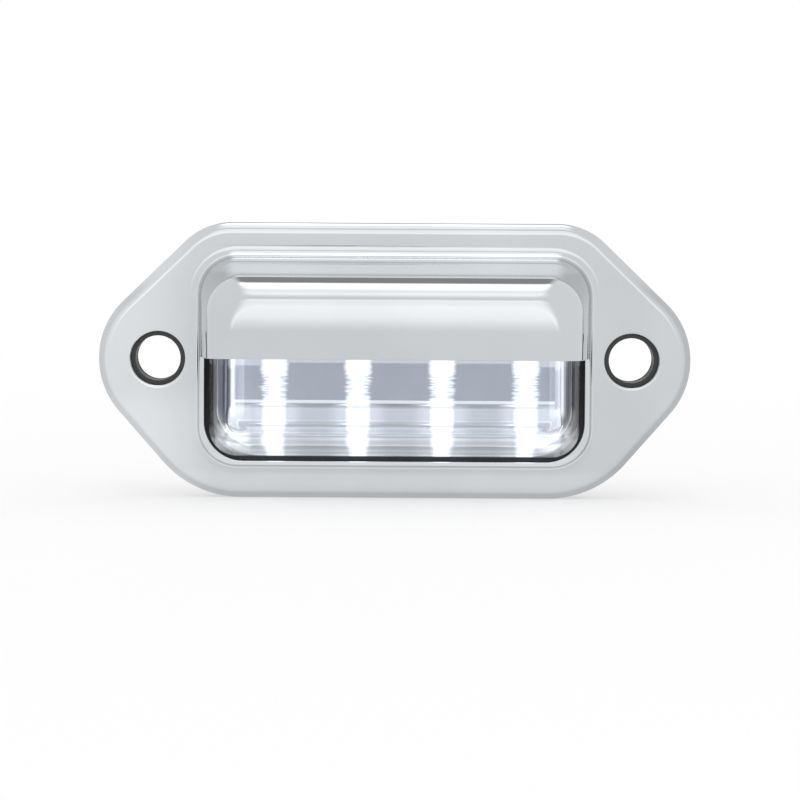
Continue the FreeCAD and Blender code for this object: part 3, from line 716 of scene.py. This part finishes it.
# The steps get painted light, most on their upward-facing tops and rounds, and a band across them is kept
# darker as painted shade.
dark_band = product(tree, 0.75, zone(tree, (z, -8.1, -8.2), (z, -9.0, -8.9)))
glow = product(tree, 0.18, calculate(tree, "MAXIMUM", halo, ends), zone(tree, (z, -5.6, -6.2)),
               calculate(tree, "SUBTRACT", 1.0, dark_band))
facing = tree.nodes.new("ShaderNodeNewGeometry")
upward = tree.nodes.new("ShaderNodeSeparateXYZ")
tree.links.new(facing.outputs["Normal"], upward.inputs["Vector"])
step_tops = product(tree, zone(tree, (upward.outputs["Z"], 0.65, 0.85)), ramp(tree, z, -6.9, -5.9, 0.2, 0.8))
step_rounds = ramp(tree, upward.outputs["Z"], 0.1, 0.5, 0.0, 0.14)
step_faces = ramp(tree, z, -5.8, -6.3, 0.0, 0.2)
steps = total(tree, calculate(tree, "MAXIMUM", step_tops, step_rounds), step_faces, glow)
steps = product(tree, steps, zone(tree, (beside, 22.1, 21.9)))
# A painted band of light just under the hood's edge, and a painted bright patch near each end of the panel.
under_leds = ramp(tree, z, -0.55, -0.2, 0.0, 0.26)
end_patch = product(tree, 0.25, zone(tree, (from_middle, 17.4, 17.8), (z, -0.95, -0.6)))
lit = product(tree, columns, 0.85)
for light in (steps, under_leds, end_patch):
    lit = calculate(tree, "MAXIMUM", lit, light)
shader.inputs["Emission Color"].default_value = (0.92, 0.96, 1.0, 1.0)
tree.links.new(lit, shader.inputs["Emission Strength"])
finish_node("reflector", metallised)


# The board is a glass-fibre laminate with a white solder mask, held under the reflector's roof.
mask, tree, shader = principled("white_solder_mask")
tone = between(tree, noise(tree, 250.0), (0.78, 0.79, 0.77), (0.86, 0.87, 0.85))
tree.links.new(tone, shader.inputs["Base Color"])
tree.links.new(between(tree, noise(tree, 900.0), 0.30, 0.42), shader.inputs["Roughness"])
finish_node("led_board", mask)


# Each LED is a white moulded cup, soldered to the board with its mouth down, filled with phosphor gel
# that glows white while the lamp is lit.
package, tree, shader = principled("led_package")
tone = between(tree, noise(tree, 1200.0), (0.82, 0.82, 0.80), (0.90, 0.90, 0.88))
tree.links.new(tone, shader.inputs["Base Color"])
tree.links.new(between(tree, noise(tree, 900.0), 0.25, 0.35), shader.inputs["Roughness"])

phosphor, tree, shader = principled("lit_phosphor", Roughness=0.4)
tone = between(tree, noise(tree, 2500.0), (0.93, 0.90, 0.66), (0.97, 0.95, 0.78))
tree.links.new(tone, shader.inputs["Base Color"])
shader.inputs["Emission Color"].default_value = (1.0, 1.0, 1.0, 1.0)
tree.links.new(between(tree, noise(tree, 2500.0), 5.0, 6.0), shader.inputs["Emission Strength"])
for number in range(1, 5):
    finish_node(f"led_body_{number}", package)
    finish_node(f"led_phosphor_{number}", phosphor)


# The two resistors are glazed chips with tinned ends, and the diode that guards against crossed leads is a
# black moulded package with flat tinned feet.
CHIP_HALF = 0.72


def tinned_ends(name, centre_x, body_low, body_high):
    """A dark chip along X whose ends, past CHIP_HALF from its middle, are tin."""
    finish, tree, shader = principled(name)
    x, _, _ = millimetres(tree)
    away = calculate(tree, "ABSOLUTE", calculate(tree, "SUBTRACT", x, centre_x))
    end = zone(tree, (away, CHIP_HALF, CHIP_HALF + 0.05))
    body = between(tree, noise(tree, 1800.0), body_low, body_high)
    tree.links.new(blend(tree, end, body, (0.72, 0.72, 0.70)), shader.inputs["Base Color"])
    tree.links.new(end, shader.inputs["Metallic"])
    tree.links.new(between(tree, noise(tree, 1800.0), 0.22, 0.36), shader.inputs["Roughness"])
    return finish


for name in ("resistor_1", "resistor_2"):
    corners = frame["nodes"][name].bound_box
    middle_x = (corners[0][0] + corners[6][0]) / 2 / MM
    finish_node(name, tinned_ends(f"chip_{name}", middle_x, (0.02, 0.02, 0.025), (0.05, 0.05, 0.06)))

diode, tree, shader = principled("diode_moulding")
tone = between(tree, noise(tree, 1500.0), (0.035, 0.035, 0.035), (0.06, 0.06, 0.06))
tree.links.new(tone, shader.inputs["Base Color"])
tree.links.new(between(tree, noise(tree, 1500.0), 0.45, 0.6), shader.inputs["Roughness"])
finish_node("polarity_diode", diode)


# The terminals are square tinned brass pins, where the two leads are soldered.
tin, tree, shader = principled("tinned_brass", Metallic=1.0)
tone = between(tree, noise(tree, 900.0, 4.0), (0.70, 0.68, 0.61), (0.80, 0.78, 0.73))
tree.links.new(tone, shader.inputs["Base Color"])
tree.links.new(between(tree, noise(tree, 1500.0), 0.25, 0.4), shader.inputs["Roughness"])
finish_node("terminal_positive", tin)
finish_node("terminal_negative", tin)


# The inner screws are bright zinc-plated steel with slotted heads, faintly bluish, with fine turning marks.
zinc, tree, shader = principled("zinc_plate", Metallic=1.0)
tone = between(tree, noise(tree, 1200.0, 4.0), (0.56, 0.58, 0.62), (0.68, 0.69, 0.71))
tree.links.new(tone, shader.inputs["Base Color"])
tree.links.new(between(tree, noise(tree, 2000.0, 3.0, (1, 1, 6)), 0.22, 0.38), shader.inputs["Roughness"])
finish_node("board_screws", zinc)
finish_node("body_screws", zinc)


# The camera looks at the lamp from half a metre in front and a little above, with a long lens and hardly
# any roll.
CAMERA_DISTANCE = 550.0
CAMERA_ELEVATION = math.radians(3.3)
AIM = (0.75, FACE, -5.46)
ROLL = math.radians(0.35)
camera_data = bpy.data.cameras.new("photo_camera")
camera_data.sensor_fit = "HORIZONTAL"
camera_data.sensor_width = 36.0
camera_data.lens = 183.2
camera_data.clip_start = 0.01
camera = bpy.data.objects.new("photo_camera", camera_data)
bpy.context.scene.collection.objects.link(camera)
bpy.context.scene.camera = camera
camera.location = place(*AIM) + CAMERA_DISTANCE * MM * Vector(
    (0, -math.cos(CAMERA_ELEVATION), math.sin(CAMERA_ELEVATION)))
camera.rotation_euler = (Matrix.Rotation(math.pi / 2 - CAMERA_ELEVATION, 3, "X")
                         @ Matrix.Rotation(ROLL, 3, "Z")).to_euler()


# A plain pale floor carries the lamp on the lower edge of its flange, and keeps its shadow. It turns evenly
# white away from the lamp, and the metal and the glass show it whiter than it is.
FLOOR_Z = -0.01882
FLOOR_HALF = 1.5
FLOOR_EVENNESS = 0.5
FLOOR_TURNS_WHITE = (60.0, 400.0)
FLOOR_IN_METAL = 0.75
floor_data = bpy.data.meshes.new("floor")
floor_corners = [(x * FLOOR_HALF, y * FLOOR_HALF, 0) for x, y in ((-1, -1), (1, -1), (1, 1), (-1, 1))]
floor_data.from_pydata(floor_corners, [], [(0, 1, 2, 3)])
floor = bpy.data.objects.new("floor", floor_data)
floor.location = (0, 0, FLOOR_Z)
bpy.context.scene.collection.objects.link(floor)
floor_finish, tree, shader = principled("pale_floor", Roughness=0.9)
tone = between(tree, noise(tree, 8.0), (0.95, 0.95, 0.95), (0.97, 0.97, 0.97))
tree.links.new(tone, shader.inputs["Base Color"])
paper = tree.nodes.new("ShaderNodeEmission")
paper.inputs["Color"].default_value = (1.0, 1.0, 1.0, 1.0)
ray = tree.nodes.new("ShaderNodeLightPath")
x, depth, _ = millimetres(tree)
evenness = ramp(tree, diagonal(tree, x, depth), *FLOOR_TURNS_WHITE, FLOOR_EVENNESS, 1.0)
even = product(tree, ray.outputs["Is Camera Ray"], evenness)
in_metal = product(tree, ray.outputs["Is Glossy Ray"], FLOOR_IN_METAL)
for share in (in_metal, ray.outputs["Is Transmission Ray"]):
    even = calculate(tree, "MAXIMUM", even, share)
surface = tree.nodes.new("ShaderNodeMixShader")
tree.links.new(even, surface.inputs[0])
tree.links.new(shader.outputs[0], surface.inputs[1])
tree.links.new(paper.outputs[0], surface.inputs[2])
tree.links.new(surface.outputs[0], tree.nodes["Material Output"].inputs["Surface"])
floor_data.materials.append(floor_finish)


# The studio is a white room. The lamp faces a soft front, with a bright panel overhead and a dark gap behind
# that. Each pair is an elevation in degrees, from the front over the top, and the light from there.
SKY = ((-30, 0.95), (-8, 0.95), (-3.3, 0.92), (0, 1.1), (3, 1.4), (7, 1.5), (14, 1.4), (24, 1.35), (28, 1.45),
       (31, 1.35), (35, 0.95), (42, 1.0), (54, 1.5), (66, 1.3), (80, 1.8), (92, 2.5), (99, 1.6), (105, 0.35),
       (141, 0.35), (148, 1.15), (165, 1.1), (180, 1.0))
SIDE_WALLS = 1.0
BEHIND = 0.35
BANDS_END = (0.10, 0.30)
BEHIND_DEEP = (0.75, 0.9)
BEHIND_ASIDE = (0.14, 0.22)
BRIGHTEST = max(level for _, level in SKY)


def shift(tree, factor, level, target):
    """Moves a level towards another one by a factor."""
    return calculate(tree, "MULTIPLY_ADD", calculate(tree, "SUBTRACT", target, level), factor, level)


world = bpy.data.worlds.new("studio")
bpy.context.scene.world = world
world.use_nodes = True
tree = world.node_tree
tree.nodes.clear()
direction = tree.nodes.new("ShaderNodeTexCoord")
parts = tree.nodes.new("ShaderNodeSeparateXYZ")
tree.links.new(direction.outputs["Generated"], parts.inputs["Vector"])
forward = calculate(tree, "MULTIPLY", parts.outputs["Y"], -1.0)
turn = calculate(tree, "ARCTAN2", parts.outputs["Z"], forward)
span = tree.nodes.new("ShaderNodeMapRange")
span.inputs["From Min"].default_value = math.radians(SKY[0][0])
span.inputs["From Max"].default_value = math.radians(SKY[-1][0])
tree.links.new(turn, span.inputs["Value"])
sky = tree.nodes.new("ShaderNodeValToRGB")
for index, (angle, level) in enumerate(SKY):
    position = (angle - SKY[0][0]) / (SKY[-1][0] - SKY[0][0])
    stop = sky.color_ramp.elements[index] if index < 2 else sky.color_ramp.elements.new(position)
    stop.position = position
    stop.color = (level / BRIGHTEST, level / BRIGHTEST, level / BRIGHTEST, 1)
tree.links.new(span.outputs["Result"], sky.inputs["Fac"])
bands = product(tree, sky.outputs["Color"], BRIGHTEST)
aside = calculate(tree, "ABSOLUTE", parts.outputs["X"])
level = shift(tree, zone(tree, (aside, *BANDS_END)), bands, SIDE_WALLS)
behind = zone(tree, (parts.outputs["Y"], *BEHIND_DEEP), (aside, *BEHIND_ASIDE))
studio = tree.nodes.new("ShaderNodeBackground")
tree.links.new(shift(tree, behind, level, BEHIND), studio.inputs["Strength"])
studio.inputs["Color"].default_value = (1, 1, 1, 1)
white = tree.nodes.new("ShaderNodeBackground")
white.inputs["Color"].default_value = (1, 1, 1, 1)
ray = tree.nodes.new("ShaderNodeLightPath")
seen = calculate(tree, "MAXIMUM", ray.outputs["Is Camera Ray"], ray.outputs["Is Transmission Ray"])
choose = tree.nodes.new("ShaderNodeMixShader")
tree.links.new(seen, choose.inputs[0])
tree.links.new(studio.outputs[0], choose.inputs[1])
tree.links.new(white.outputs[0], choose.inputs[2])
output = tree.nodes.new("ShaderNodeOutputWorld")
tree.links.new(choose.outputs[0], output.inputs["Surface"])
bpy.context.scene.view_settings.view_transform = "Standard"
